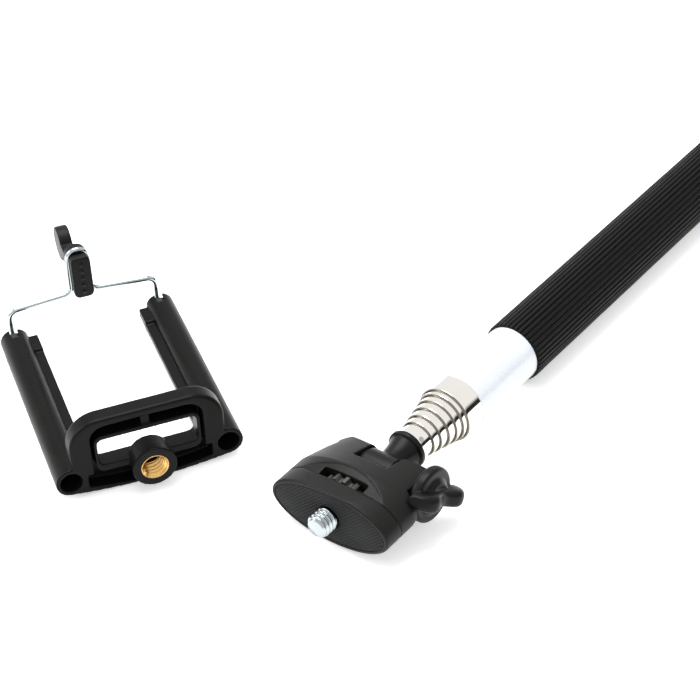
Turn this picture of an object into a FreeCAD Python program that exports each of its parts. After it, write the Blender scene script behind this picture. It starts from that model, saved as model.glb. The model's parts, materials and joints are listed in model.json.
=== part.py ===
"""Telescopic selfie stick, closed and lying on a table, with its spring phone holder beside it.

Millimetres. The origin is the centre of the camera seat, where the 1/4 inch stud leaves the
head's rubber pad. +X runs back along the stick to the grip, +Z is up. The phone holder is drawn
in a frame of its own (x along its arms, y to its left, z up) and placed on the table at the end.
"""
import FreeCAD, Part
import math
import os

V = FreeCAD.Vector
X_AXIS, Y_AXIS, Z_AXIS = V(1, 0, 0), V(0, 1, 0), V(0, 0, 1)
parts = {}

# ---- fits ----------------------------------------------------------------------------------
slide_gap = 0.05          # radial running clearance of a sliding or turning fit
free_gap = 0.35           # clearance between pieces that move past each other

# ---- telescopic tubes ----------------------------------------------------------------------
tube_count = 7
outer_tube_od = 16.0
tube_od_step = 1.1        # each tube is this much thinner than the one round it
tube_wall = 0.35
mouth_length = 1.0        # the front of each tube is rolled in over this length
section_length = 165.0    # length of tubes 1 to 6
bush_length = 18.0
closed_bands = (4.0, 2.5, 2.7, 2.6, 2.2, 1.6)   # bare front of tubes 1 to 6 when closed
rear_margin = 11.0        # outermost tube goes on past the rear end of tube 6 by this much

# ---- handle --------------------------------------------------------------------------------
label_start_from_mouth = 6.4
label_length = 25.0
label_thickness = 0.1
grip_od = 17.8
rib_depth = 0.45
rib_count = 40
cap_plug_length = 9.0
cap_flange_length = 4.0
cap_chamfer = 1.5
cap_eye_length = 8.0
cap_eye_width = 9.0
cap_eye_thickness = 4.0
strap_hole_r = 1.6

# ---- neck ----------------------------------------------------------------------------------
pivot_x = 20.5            # tilt axis, behind the camera seat
knuckle_r = 5.2
knuckle_width = 8.8
neck_shaft_r = 3.8
flare_start_x = 25.0
flange_r = 5.5
flange_thickness = 1.6
flange_lip = 0.7          # the flare ends this far inside the flange's rim
flange_edge = 0.3
flare_steps = 4
flange_rear_x = 32.2
spigot_length = 10.0
neck_pin_r = 0.75
neck_pin_from_flange = 1.3

# ---- tilting head --------------------------------------------------------------------------
head_roll = -3.7          # degrees: the round tubes let the head turn a little about the stick
neck_offset = -0.8        # the neck sits this far to the knob's side of the head's middle
head_half_width = 18.3
head_half_height = 8.6
collar_length = 5.7
collar_rim_r = 0.6
seam_edge_r = 0.25         # rounds both edges of the seam behind the collar
taper_start_x = 11.0
ear_r = 5.7
ear_half_width = 16.3
rear_corner_r = 8.0
friction_washer_r = 4.6
friction_washer_thickness = 0.6
pad_inset = 1.1
pad_depth = 1.2
window_half_width = 6.8
window_length = 2.8
recess_apex_x = 10.9
recess_depth_share = 0.15      # depths and widths of the recess as shares of the head's own
recess_step_share = 0.045
recess_width_share = 0.72
scoop_front_depth_share = 0.064
scoop_front_width_share = 0.355
wheel_r = 7.6
wheel_thickness = 2.3
wheel_teeth = 15
wheel_tooth_depth = 1.1
stud_r = 3.175            # 1/4 inch thread, drawn at its crest
stud_length = 5.0
stud_undercut = 0.08      # the full thread ends this far in front of the seat
stud_neck_r = 2.6         # plain part of the stud inside the collar and the wheel
stud_tail_r = 2.0
stud_tail_length = 3.2
stud_tip_chamfer = 0.5
head_screw_y = 11.8
head_screw_r = 1.1
head_screw_head_r = 2.0
head_screw_head_length = 1.3
head_screw_tip_x = 10.5
bolt_r = 2.0
bolt_head_r = 3.0
bolt_head_length = 2.4
bolt_socket_depth = 1.2
bolt_head_y = 11.6        # inner face of the bolt's head in the left ear
washer_thickness = 0.5

# ---- wing knob -----------------------------------------------------------------------------
ear_face_y = 13.0         # the right ear ends here in a round recess
knob_washer_r = 4.6
knob_r = 7.4
knob_disc_length = 3.0
wing_height = 5.3
wing_dip = 2.6
wing_half_length = 7.5
wing_thickness = 4.0
wing_root = 0.8           # wing and hub start this deep in the flange
saddle_rise = 1.0         # the saddle between the lobes stands this far above their widest place
knob_edge_r = 0.9
hub_base_wall = 2.2       # plastic round the nut at the flange and at the top
hub_top_wall = 0.9
wing_angle = -28.0        # degrees below the stick's axis, as it was left when tightened
nut_r = 3.4
nut_length = 3.0
nut_cover = 0.6           # plastic between the knob's face and the nut
knob_face_gap = 0.1
bolt_tip_in_nut = 0.5

# ---- phone holder --------------------------------------------------------------------------
holder_x, holder_y = -8.4, 51.7       # middle of its base on the table
holder_yaw = 58.5
arm_spacing = 42.1
arm_r = 4.0
arm_bore_r = 2.9
arm_length = 64.9
base_depth = 5.0
base_back_wall = 1.0
arch_half_width = 20.5
arch_height = 17.8
arch_corner_r = 8.5
arch_edge_r = 0.7
pocket_half_width = 14.9
pocket_top = 15.6
pocket_corner_r = 4.0
lower_rim_drop = 5.5
lower_rim_wall = 1.0
pocket_to_arm = 0.5
lip_half_width = 14.0
lip_bottom = 1.1
lip_top = 12.6
lip_corner_r = 2.4
lip_wall_side = 0.8
lip_wall_top = 1.2
lip_wall_bottom = 2.1
rib_width = 2.4
rib_set_back = 0.8
boss_r = 5.9
boss_rear_r = 5.3
boss_height = 2.2
boss_front = 4.6
boss_rear = 2.3
insert_r = 3.55
insert_length = 6.5
insert_bore_r = 3.225     # clears a 1/4 inch thread
ledge_inner_y = 14.7
ledge_top = 0.6
ledge_thickness = 2.0
ledge_end_step = 0.8
ledge_end_length = 7.0
ledge_short_of_arm = 1.5
groove_width = 0.4
groove_into_arm = 0.3
groove_depth = 0.4
notch_length = 3.8
notch_width = 2.2

# ---- wire bail, springs and finger clip ------------------------------------------------------
wire_r = 0.75
wire_bend_r = 2.5
wire_inner_end_x = 11.5
riser_x = 66.8
run_outer_z = 8.4
run_inner_z = 9.7
loop_x = 66.8
loop_half_width = 2.7
loop_leg_top_z = 21.0
stop_gap = 0.3             # between the stop and the arm's bore
stop_length = 2.5
guide_length = 4.0
guide_to_bend = 0.1          # the bail's bends rest against the guides
spring_wire_r = 0.25
spring_gap = 0.45          # between the spring and the arm's bore
spring_turns = 14
spring_end_gap = 0.1
clip_pad_half_width = 2.8
clip_offset = -0.3         # the rubber clip sits a little to the right on the loop
clip_pad_bottom = 9.4
clip_pad_top = 22.8
clip_pad_thickness = 2.4
clip_corner_r = 1.6
clip_edge_r = 0.6
clip_core_gap = 0.1         # the loop's wire clears the rubber between its legs
clip_back_thickness = 1.8
clip_back_top_r = 3.0
clip_back_half_width = 3.1
clip_back_top = 24.2
tab_r = 5.0
tab_thickness = 3.6
tab_edge_r = 0.5
tab_reach = 20.0          # from the loop to the middle of the round tab
tab_z = 13.3
tail_half_height = 2.2
dot_count = 5
dot_r = 0.6

# ---- values worked out from the sizes above ---------------------------------------------------
tube_r = [(outer_tube_od - (tube_count - 1 - i) * tube_od_step) / 2 for i in range(tube_count)]
tube_front = [flange_rear_x]
for band in closed_bands:
    tube_front.append(tube_front[-1] + band)
outer_tube_rear = tube_front[tube_count - 2] + section_length + rear_margin
label_start = tube_front[-1] + label_start_from_mouth
grip_start = label_start + label_length
pocket_r = knuckle_r + free_gap
slot_half_width = knuckle_width / 2 + slide_gap + friction_washer_thickness
slot_front_x = pivot_x - neck_shaft_r - free_gap
window_rear_x = collar_length + window_length
wheel_front_x = collar_length + (window_length - wheel_thickness) / 2
knob_face_y = -(ear_face_y + washer_thickness + knob_face_gap)
knob_outer_y = knob_face_y - knob_disc_length
nut_inner_y = knob_face_y - nut_cover
nut_outer_y = nut_inner_y - nut_length
arm_y = arm_spacing / 2
stop_r = arm_bore_r - stop_gap
spring_mean_r = arm_bore_r - spring_gap - spring_wire_r
guide_x1 = riser_x - wire_bend_r - guide_to_bend
guide_x0 = guide_x1 - guide_length
roll = math.radians(head_roll)
stick_shift = V(0, neck_offset * math.cos(roll), neck_offset * math.sin(roll))
table_z = stick_shift.z - grip_od / 2     # the grip rests on the table
holder_tilt = math.degrees(math.atan2(lower_rim_drop - arm_r, arm_length))


def cylinder(radius, start, axis, length):
    return Part.makeCylinder(radius, length, V(*start), axis)


def tube(outer_r, inner_r, start, axis, length):
    return cylinder(outer_r, start, axis, length).cut(cylinder(inner_r, start, axis, length))


def block(x0, x1, y0, y1, z0, z1):
    return Part.makeBox(x1 - x0, y1 - y0, z1 - z0, V(x0, y0, z0))


def turned(profile):
    """Solid of revolution about X from (x, radius) points."""
    points = [V(x, 0, r) for x, r in profile]
    face = Part.Face(Part.makePolygon(points + points[:1]))
    return face.revolve(V(0, 0, 0), X_AXIS, 360)


def oval_face(half_width, half_height, x):
    """Flat oval across the stick."""
    oval = Part.Ellipse(V(x, half_width, 0), V(x, 0, half_height), V(x, 0, 0))
    return Part.Face(Part.Wire(oval.toShape()))


def oval_bar(half_width, half_height, x0, x1):
    return oval_face(half_width, half_height, x0).extrude(V(x1 - x0, 0, 0))


def rounded_outline(y0, y1, z0, z1, radii, x):
    """Wire in the plane x: a rectangle with its own radius at each corner.

    The radii are those of the lower left, lower right, upper right and upper left corners.
    """
    corners = ((y0, z0, radii[0]), (y1, z0, radii[1]), (y1, z1, radii[2]), (y0, z1, radii[3]))
    edges, first, last = [], None, None
    for i, (y, z, r) in enumerate(corners):
        before, after = corners[i - 1], corners[(i + 1) % 4]
        to_before = V(0, before[0] - y, before[1] - z).normalize()
        to_after = V(0, after[0] - y, after[1] - z).normalize()
        corner = V(x, y, z)
        start, end = corner + to_before * r, corner + to_after * r
        if last is not None:
            edges.append(Part.LineSegment(last, start).toShape())
        if r > 0:
            middle = corner + (to_before + to_after) * (r * (1 - math.sqrt(0.5)))
            edges.append(Part.Arc(start, middle, end).toShape())
        first = start if first is None else first
        last = end
    edges.append(Part.LineSegment(last, first).toShape())
    return Part.Wire(edges)


def rounded_bar(y0, y1, z0, z1, radii, x0, x1):
    return Part.Face(rounded_outline(y0, y1, z0, z1, radii, x0)).extrude(V(x1 - x0, 0, 0))


def rounded_edges(shape, radius, wanted):
    """Fillet the edges for which wanted(edge) is true."""
    edges = [edge for edge in shape.Edges if wanted(edge)]
    return shape.makeFillet(radius, edges)


def bent_rod(points, bend_r, rod_r):
    """A round rod along straight runs joined by tangent arcs of one radius."""
    path = [V(*p) for p in points]
    edges, last = [], path[0]
    for before, corner, after in zip(path, path[1:], path[2:]):
        back, ahead = (before - corner).normalize(), (after - corner).normalize()
        half = back.getAngle(ahead) / 2
        reach = bend_r / math.tan(half)
        centre = corner + (back + ahead).normalize() * (bend_r / math.sin(half))
        start, end = corner + back * reach, corner + ahead * reach
        middle = centre + (corner - centre).normalize() * bend_r
        if (start - last).Length > 1e-6:
            edges.append(Part.LineSegment(last, start).toShape())
        edges.append(Part.Arc(start, middle, end).toShape())
        last = end
    edges.append(Part.LineSegment(last, path[-1]).toShape())
    circle = Part.Circle(path[0], path[1] - path[0], rod_r).toShape()
    return Part.Wire(edges).makePipeShell([Part.Wire(circle)], True, False)


def keep(name, shape, group=1):
    """Store a piece, which must be the expected number of sound solids."""
    solids = shape.Solids
    if len(solids) != group or not all(solid.isValid() for solid in solids):
        raise RuntimeError("%s is %d solids, not %d sound ones" % (name, len(solids), group))
    parts[name] = solids[0] if group == 1 else Part.makeCompound(solids)


def both_sides(shape):
    """The shape and its mirror image across y = 0."""
    return Part.makeCompound([shape, shape.mirror(V(0, 0, 0), Y_AXIS)])


# ---- handle and telescopic tubes -------------------------------------------------------------
def telescopic_tube(index):
    """A thin tube whose front mouth is rolled in to guide the next thinner tube."""
    outer = tube_r[index]
    front = tube_front[index]
    rear = outer_tube_rear if index == tube_count - 1 else front + section_length
    if index == 0:
        bore = outer - tube_wall
        return turned([(front, outer), (rear, outer), (rear, bore), (front, bore)])
    mouth_inner = tube_r[index - 1] + slide_gap
    mouth_outer = mouth_inner + tube_wall * 0.6
    shoulder = front + mouth_length
    return turned([
        (front, mouth_inner), (front, mouth_outer), (shoulder, outer), (rear, outer),
        (rear, outer - tube_wall), (shoulder + tube_wall, outer - tube_wall), (shoulder, mouth_inner)])


def tube_bush(index):
    """Bronze sleeve on the rear of a tube, running in the bore of the tube round it."""
    rear = tube_front[index] + section_length
    bore_r = tube_r[index + 1] - tube_wall
    return tube(bore_r - slide_gap, tube_r[index], (rear - bush_length, 0, 0), X_AXIS, bush_length)


def grip_sleeve():
    """Rubber sleeve with ribs along it."""
    crest_r, root_r = grip_od / 2, grip_od / 2 - rib_depth
    pitch = 2 * math.pi / rib_count
    crest_half, root_half = pitch * 0.20, pitch * 0.18

    def at(radius, angle):
        return V(grip_start, radius * math.cos(angle), radius * math.sin(angle))

    edges = []
    for i in range(rib_count):
        middle = i * pitch
        rise, fall = middle - crest_half, middle + crest_half
        next_root, next_rise = middle + pitch - crest_half, middle + pitch / 2
        root_start, root_end = next_rise - root_half, next_rise + root_half
        edges.append(Part.Arc(at(crest_r, rise), at(crest_r, middle), at(crest_r, fall)).toShape())
        edges.append(Part.LineSegment(at(crest_r, fall), at(root_r, root_start)).toShape())
        root = Part.Arc(at(root_r, root_start), at(root_r, next_rise), at(root_r, root_end))
        edges.append(root.toShape())
        edges.append(Part.LineSegment(at(root_r, root_end), at(crest_r, next_root)).toShape())
    length = outer_tube_rear - grip_start
    ribbed = Part.Face(Part.Wire(edges)).extrude(V(length, 0, 0))
    return ribbed.cut(cylinder(outer_tube_od / 2, (grip_start, 0, 0), X_AXIS, length))


def end_cap():
    """Cap plugged in the rear of the outermost tube, with an eye for a wrist strap."""
    bore_r = outer_tube_od / 2 - tube_wall
    cap_r = grip_od / 2
    flange_end = outer_tube_rear + cap_flange_length
    eye_middle = flange_end + cap_eye_length - cap_eye_width / 2
    cap = turned([
        (outer_tube_rear - cap_plug_length, 0), (outer_tube_rear - cap_plug_length, bore_r),
        (outer_tube_rear, bore_r), (outer_tube_rear, cap_r), (flange_end - cap_chamfer, cap_r),
        (flange_end, cap_r - cap_chamfer), (flange_end, 0)])
    half = cap_eye_thickness / 2
    eye = cylinder(cap_eye_width / 2, (eye_middle, 0, -half), Z_AXIS, cap_eye_thickness)
    eye_half = cap_eye_width / 2
    eye = eye.fuse(block(outer_tube_rear, eye_middle, -eye_half, eye_half, -half, half))
    hole = cylinder(strap_hole_r, (eye_middle, 0, -half), Z_AXIS, cap_eye_thickness)
    return cap.fuse(eye).removeSplitter().cut(hole)


def on_stick(shape):
    """Move a piece that was drawn about the X axis onto the stick's own axis."""
    moved = shape.copy()
    moved.translate(stick_shift)
    return moved


def make_handle():
    for i in range(1, tube_count):
        keep("tube_%d" % (i + 1), on_stick(telescopic_tube(i)))
    for i in range(tube_count - 1):
        keep("bush_%d" % (i + 1), on_stick(tube_bush(i)))
    keep("grip_sleeve", on_stick(grip_sleeve()))
    label_r = outer_tube_od / 2
    label = tube(label_r + label_thickness, label_r, (label_start, 0, 0), X_AXIS, label_length)
    keep("label_wrap", on_stick(label))
    keep("end_cap", on_stick(end_cap()))


# ---- neck ------------------------------------------------------------------------------------
def neck_pin_solid():
    pin_x = flange_rear_x + neck_pin_from_flange
    return cylinder(neck_pin_r, (pin_x, 0, 0), V(0, -1, 1), tube_r[0])


def neck():
    """Knuckle, shaft, flange and the spigot that holds the thinnest tube."""
    knuckle = cylinder(knuckle_r, (pivot_x, -knuckle_width / 2, 0), Y_AXIS, knuckle_width)
    flange_front = flange_rear_x - flange_thickness
    spigot_r = tube_r[0] - tube_wall
    flare_length, flare_rise = flange_front - flare_start_x, flange_r - flange_lip - neck_shaft_r
    shares = [i / flare_steps for i in range(flare_steps + 1)]
    flare = [(flare_start_x + t * flare_length, neck_shaft_r + flare_rise * t ** 2) for t in shares]
    edge = flange_edge
    shaft = turned([(pivot_x, 0), (pivot_x, neck_shaft_r)] + flare + [
        (flange_front, flange_r - edge), (flange_front + edge, flange_r),
        (flange_rear_x - edge, flange_r), (flange_rear_x, flange_r - edge), (flange_rear_x, spigot_r),
        (flange_rear_x + spigot_length, spigot_r), (flange_rear_x + spigot_length, 0)])
    hole = cylinder(bolt_r + slide_gap, (pivot_x, -knuckle_width / 2, 0), Y_AXIS, knuckle_width)
    return knuckle.fuse(shaft).cut(hole).cut(neck_pin_solid())


def make_neck():
    keep("neck", at_neck(neck()))
    keep("tube_1", at_neck(telescopic_tube(0).cut(neck_pin_solid())))
    keep("neck_pin", at_neck(neck_pin_solid()))


# ---- tilting head ----------------------------------------------------------------------------
def rolled(shape):
    """Turn a piece of the head about the stud's axis into its rest position."""
    turned_shape = shape.copy()
    turned_shape.rotate(V(0, 0, 0), X_AXIS, head_roll)
    return turned_shape


def beside_middle(shape):
    """Move what belongs to the tilt joint from the head's middle to the neck's middle."""
    moved = shape.copy()
    moved.translate(V(0, neck_offset, 0))
    return moved


def at_neck(shape):
    return rolled(beside_middle(shape))


def recess_floor(depth_share, width_share, x):
    """Oval whose top lies lower than the head's and which meets the head's own at a width."""
    height_there = math.sqrt(1 - width_share ** 2)
    flattening = math.sqrt(1 - (height_there / (1 - depth_share)) ** 2)
    half_width = head_half_width * width_share / flattening
    return oval_face(half_width, head_half_height * (1 - depth_share), x).OuterWire


def thumb_recess():
    """What the thumb recess takes away: a crescent in the body, a fading scoop in the collar."""
    half = recess_width_share * head_half_width
    rise = recess_apex_x - collar_length
    crescent_r = (half ** 2 + rise ** 2) / (2 * rise)
    seam = recess_floor(recess_depth_share, recess_width_share, collar_length)
    apex = recess_floor(recess_step_share, recess_width_share, recess_apex_x)
    front = recess_floor(scoop_front_depth_share, scoop_front_width_share, 0)
    crescent = cylinder(crescent_r, (recess_apex_x - crescent_r, 0, 0), Z_AXIS, head_half_height)
    crescent = crescent.common(block(collar_length, recess_apex_x, -half, half, 0, head_half_height))
    crescent = crescent.cut(Part.makeLoft([seam, apex], True))
    scoop = block(0, collar_length, -half, half, 0, head_half_height)
    return crescent, scoop.cut(Part.makeLoft([front, seam], True))


def head_outer_solid():
    """Body of the head behind the collar, tapering to the two round ears."""
    ear_oval_height = ear_r / math.sqrt(1 - (slot_half_width / ear_half_width) ** 2)
    front = oval_bar(head_half_width, head_half_height, collar_length, taper_start_x)
    front = rounded_edges(front, seam_edge_r, lambda edge: edge.CenterOfMass.x < collar_length + 0.01)
    rear_x = pivot_x + ear_r
    slope = (ear_oval_height - head_half_height) / (pivot_x - taper_start_x)
    side_slope = (ear_half_width - head_half_width) / (pivot_x - taper_start_x)
    taper = Part.makeLoft([
        oval_face(head_half_width, head_half_height, taper_start_x).OuterWire,
        oval_face(head_half_width + side_slope * (rear_x - taper_start_x),
                  head_half_height + slope * (rear_x - taper_start_x), rear_x).OuterWire], True)
    shell = front.fuse(taper)
    width = 2 * head_half_width
    side_view = block(0, pivot_x, -width, width, -width, width).fuse(
        cylinder(ear_r, (pivot_x, -width, 0), Y_AXIS, 2 * width))
    corner = rear_corner_r
    plan = block(0, rear_x - corner, -width, width, -width, width)
    plan = plan.fuse(block(0, rear_x, -ear_half_width + corner, ear_half_width - corner, -width, width))
    for side in (-1, 1):
        plan = plan.fuse(cylinder(corner, (rear_x - corner, side * (ear_half_width - corner), -width),
                                  Z_AXIS, 2 * width))
    return shell.common(side_view).common(plan).removeSplitter()


def head_screw_holes(radius):
    holes = [cylinder(radius, (0, side * head_screw_y, 0), X_AXIS, head_screw_tip_x) for side in (-1, 1)]
    return Part.makeCompound(holes)


def head_body():
    body = head_outer_solid()
    half = slot_half_width
    far = pivot_x + ear_r + 1
    tall = head_half_height + 1
    slot = block(slot_front_x, far, -half, half, -tall, tall)
    slot = slot.fuse(cylinder(pocket_r, (pivot_x, -half, 0), Y_AXIS, 2 * half))
    body = body.cut(beside_middle(slot))
    wheel_room = cylinder(wheel_r + free_gap, (collar_length, 0, 0), X_AXIS, window_length)
    window = block(collar_length, window_rear_x, -window_half_width, window_half_width, -tall, tall)
    body = body.cut(wheel_room).cut(window).cut(thumb_recess()[0])
    tail = cylinder(stud_tail_r + slide_gap, (window_rear_x, 0, 0), X_AXIS, stud_tail_length)
    body = body.cut(tail).cut(head_screw_holes(head_screw_r))
    recess_r = knob_r + free_gap
    knob_room = cylinder(recess_r, (pivot_x, -ear_face_y, 0), V(0, -1, 0), head_half_width)
    bolt_room = cylinder(bolt_r, (pivot_x, -head_half_width, 0), Y_AXIS, 2 * head_half_width)
    bolt_head_room = cylinder(bolt_head_r + slide_gap, (pivot_x, bolt_head_y, 0), Y_AXIS, head_half_width)
    joint_room = knob_room.fuse(bolt_room).fuse(bolt_head_room)
    return body.cut(beside_middle(joint_room))


def head_collar():
    collar = oval_bar(head_half_width, head_half_height, 0, collar_length)
    collar = rounded_edges(collar, collar_rim_r, lambda edge: edge.CenterOfMass.x < 0.01)
    collar = rounded_edges(collar, seam_edge_r, lambda edge: edge.CenterOfMass.x > collar_length - 0.01)
    pad_room = oval_bar(head_half_width - pad_inset, head_half_height - pad_inset, 0, pad_depth)
    collar = collar.cut(pad_room)
    collar = collar.cut(cylinder(stud_neck_r + slide_gap, (0, 0, 0), X_AXIS, collar_length))
    collar = collar.cut(head_screw_holes(head_screw_r))
    for side in (-1, 1):
        collar = collar.cut(cylinder(head_screw_head_r, (0, side * head_screw_y, 0), X_AXIS,
                                     pad_depth + head_screw_head_length))
    return collar.cut(thumb_recess()[1])


def head_pad():
    pad = oval_bar(head_half_width - pad_inset, head_half_height - pad_inset, 0, pad_depth)
    return pad.cut(cylinder(stud_r + free_gap, (0, 0, 0), X_AXIS, pad_depth))


def head_screws():
    shanks = []
    for side in (-1, 1):
        y = side * head_screw_y
        head = cylinder(head_screw_head_r, (pad_depth, y, 0), X_AXIS, head_screw_head_length)
        shank = cylinder(head_screw_r, (pad_depth, y, 0), X_AXIS, head_screw_tip_x - pad_depth)
        shanks.append(head.fuse(shank).removeSplitter())
    return Part.makeCompound(shanks)


def thumb_wheel():
    """Wheel with coarse teeth, fixed on the stud."""
    step = 2 * math.pi / wheel_teeth
    points = []
    for i in range(wheel_teeth):
        for offset, radius in ((-0.34, wheel_r - wheel_tooth_depth), (-0.16, wheel_r),
                               (0.16, wheel_r), (0.34, wheel_r - wheel_tooth_depth)):
            angle = (i + offset) * step
            points.append(V(wheel_front_x, radius * math.cos(angle), radius * math.sin(angle)))
    toothed = Part.Face(Part.makePolygon(points + points[:1])).extrude(V(wheel_thickness, 0, 0))
    return toothed.cut(cylinder(stud_neck_r, (0, 0, 0), X_AXIS, pivot_x))


def camera_stud():
    """Threaded stud at its crest size, with a plain tail that turns in the body."""
    body_end = wheel_front_x + wheel_thickness
    tail_end = window_rear_x + stud_tail_length - free_gap
    return turned([
        (-stud_length, 0), (-stud_length, stud_r - stud_tip_chamfer),
        (-stud_length + stud_tip_chamfer, stud_r), (-stud_undercut, stud_r),
        (-stud_undercut, stud_neck_r), (body_end, stud_neck_r), (body_end, stud_tail_r),
        (tail_end, stud_tail_r), (tail_end, 0)])


def pivot_bolt():
    head = cylinder(bolt_head_r, (pivot_x, bolt_head_y, 0), Y_AXIS, bolt_head_length)
    shank_end = nut_outer_y + bolt_tip_in_nut
    shank = cylinder(bolt_r, (pivot_x, shank_end, 0), Y_AXIS, bolt_head_y - shank_end)
    socket_y = bolt_head_y + bolt_head_length - bolt_socket_depth
    socket = cylinder(bolt_head_r / 2, (pivot_x, socket_y, 0), Y_AXIS, bolt_socket_depth)
    return head.fuse(shank).removeSplitter().cut(socket)


def friction_washers():
    inner_face = knuckle_width / 2 + slide_gap
    washer = tube(friction_washer_r, bolt_r + slide_gap, (pivot_x, inner_face, 0), Y_AXIS,
                  slot_half_width - inner_face)
    return both_sides(washer)


def nut_solid():
    angles = [math.radians(60 * i) for i in range(6)]
    points = [V(pivot_x + nut_r * math.cos(a), nut_inner_y, nut_r * math.sin(a)) for a in angles]
    return Part.Face(Part.makePolygon(points + points[:1])).extrude(V(0, -nut_length, 0))


def wing_knob():
    """Round flange with a two-lobed wing across it."""
    disc = cylinder(knob_r, (pivot_x, knob_outer_y, 0), Y_AXIS, knob_disc_length)
    disc = rounded_edges(disc, knob_edge_r, lambda edge: True)
    hub_base_y = knob_outer_y + wing_root
    hub = Part.makeCone(nut_r + hub_base_wall, nut_r + hub_top_wall, wing_height - wing_dip + wing_root,
                        V(pivot_x, hub_base_y, 0), V(0, -1, 0))
    reach, shoulder, lobe = wing_half_length, wing_half_length * 0.9, wing_half_length * 0.72
    widest_y, lobe_y = knob_outer_y - wing_dip, knob_outer_y - wing_height
    half_outline = [(shoulder, hub_base_y), (reach, widest_y), (lobe, lobe_y)]
    points = [V(pivot_x - x, y, 0) for x, y in half_outline]
    points.append(V(pivot_x, widest_y - saddle_rise, 0))
    points += [V(pivot_x + x, y, 0) for x, y in reversed(half_outline)]
    outline = Part.BSplineCurve()
    outline.interpolate(points)
    wire = Part.Wire([outline.toShape(), Part.LineSegment(points[-1], points[0]).toShape()])
    wing = Part.Face(wire).extrude(V(0, 0, wing_thickness))
    wing.translate(V(0, 0, -wing_thickness / 2))
    wing.rotate(V(pivot_x, 0, 0), Y_AXIS, -wing_angle)
    bolt_hole = cylinder(bolt_r + 2 * slide_gap, (pivot_x, knob_face_y, 0), V(0, -1, 0),
                         knob_face_y - nut_outer_y)
    return disc.fuse(hub).fuse(wing).cut(nut_solid()).cut(bolt_hole)


def make_head():
    keep("head_body", rolled(head_body()))
    keep("head_collar", rolled(head_collar()))
    keep("head_pad", rolled(head_pad()))
    keep("head_screws", rolled(head_screws()), 2)
    keep("thumb_wheel", rolled(thumb_wheel()))
    keep("camera_stud", rolled(camera_stud()))
    keep("pivot_bolt", at_neck(pivot_bolt()))
    keep("friction_washers", at_neck(friction_washers()), 2)
    outward, hole_r = V(0, -1, 0), bolt_r + slide_gap
    washer = tube(knob_washer_r, hole_r, (pivot_x, -ear_face_y, 0), outward, washer_thickness)
    keep("knob_washer", at_neck(washer))
    nut = nut_solid().cut(cylinder(hole_r, (pivot_x, 0, 0), outward, 3 * head_half_width))
    keep("knob_nut", at_neck(nut))
    keep("wing_knob", at_neck(wing_knob()))


# ---- phone holder ----------------------------------------------------------------------------
def lower_rim_face(drop, half_width, x):
    """Region between the arms' plane and an arc that bulges below it."""
    left, right = V(x, half_width, -drop[1]), V(x, -half_width, -drop[1])
    arc = Part.Arc(left, V(x, 0, -drop[0]), right).toShape()
    sides = [Part.LineSegment(right, V(x, -half_width, 1)).toShape(),
             Part.LineSegment(V(x, -half_width, 1), V(x, half_width, 1)).toShape(),
             Part.LineSegment(V(x, half_width, 1), left).toShape()]
    return Part.Face(Part.Wire([arc] + sides))


def boss_cylinder(radius, x0, x1):
    return cylinder(radius, (x0, 0, boss_height), X_AXIS, x1 - x0)


def boss():
    """Slightly tapered boss round the brass insert."""
    length = boss_front + boss_rear
    return Part.makeCone(boss_r, boss_rear_r, length, V(-boss_front, 0, boss_height), X_AXIS)


def holder_base():
    """Arch with a window, blind pockets round it and the boss for the brass insert."""
    base = rounded_bar(-arch_half_width, arch_half_width, 0, arch_height,
                       (0, 0, arch_corner_r, arch_corner_r), 0, base_depth)
    rim = lower_rim_face((lower_rim_drop, arm_r), arm_y, 0).extrude(V(base_depth, 0, 0))
    base = base.fuse(rim).removeSplitter()
    base = rounded_edges(base, arch_edge_r, lambda edge: edge.CenterOfMass.z > 1 and edge.Length > 5
                         and abs(edge.CenterOfMass.x - base_depth / 2) > base_depth / 2 - 0.01)
    pocket_floor = base_depth - base_back_wall
    pocket = rounded_bar(-pocket_half_width, pocket_half_width, 0, pocket_top,
                         (0, 0, pocket_corner_r, pocket_corner_r), 0, pocket_floor)
    wall = lower_rim_wall
    low = lower_rim_face((lower_rim_drop - wall, arm_r - wall), arm_y - arm_r - pocket_to_arm, 0)
    pocket = pocket.fuse(low.extrude(V(pocket_floor, 0, 0)))
    lip = rounded_bar(-lip_half_width, lip_half_width, lip_bottom, lip_top,
                      (lip_corner_r,) * 4, 0, pocket_floor)
    rib = block(rib_set_back, pocket_floor, -rib_width / 2, rib_width / 2, lip_top - 1, pocket_top + 1)
    web = block(0, pocket_floor, -rib_width, rib_width, -lower_rim_drop + wall / 2, boss_height)
    pocket = pocket.cut(lip).cut(rib).cut(web).cut(boss())
    window_side, inner_r = lip_half_width - lip_wall_side, lip_corner_r - lip_wall_side
    window = rounded_bar(-window_side, window_side, lip_bottom + lip_wall_bottom, lip_top - lip_wall_top,
                         (inner_r,) * 4, 0, base_depth)
    base = base.cut(pocket).cut(window)
    base = base.fuse(boss())
    return base.removeSplitter()


def holder_arm():
    """Left arm: hollow round tube, flat ledge inside it, notch for the wire at its far end."""
    tube_solid = cylinder(arm_r, (0, arm_y, 0), X_AXIS, arm_length)
    ledge_end = arm_length - ledge_short_of_arm
    ledge_bottom = ledge_top - ledge_thickness
    ledge = block(base_depth - base_back_wall, ledge_end, ledge_inner_y, arm_y, ledge_bottom, ledge_top)
    end_pad = block(ledge_end - ledge_end_length, ledge_end, ledge_inner_y, arm_y,
                    ledge_bottom, ledge_top + ledge_end_step)
    arm = tube_solid.fuse(ledge).fuse(end_pad)
    groove_y = arm_y - arm_r + groove_into_arm
    arm = arm.cut(block(base_depth, arm_length, groove_y - groove_width, groove_y,
                        ledge_top - groove_depth, arm_r))
    return arm.removeSplitter()


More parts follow.
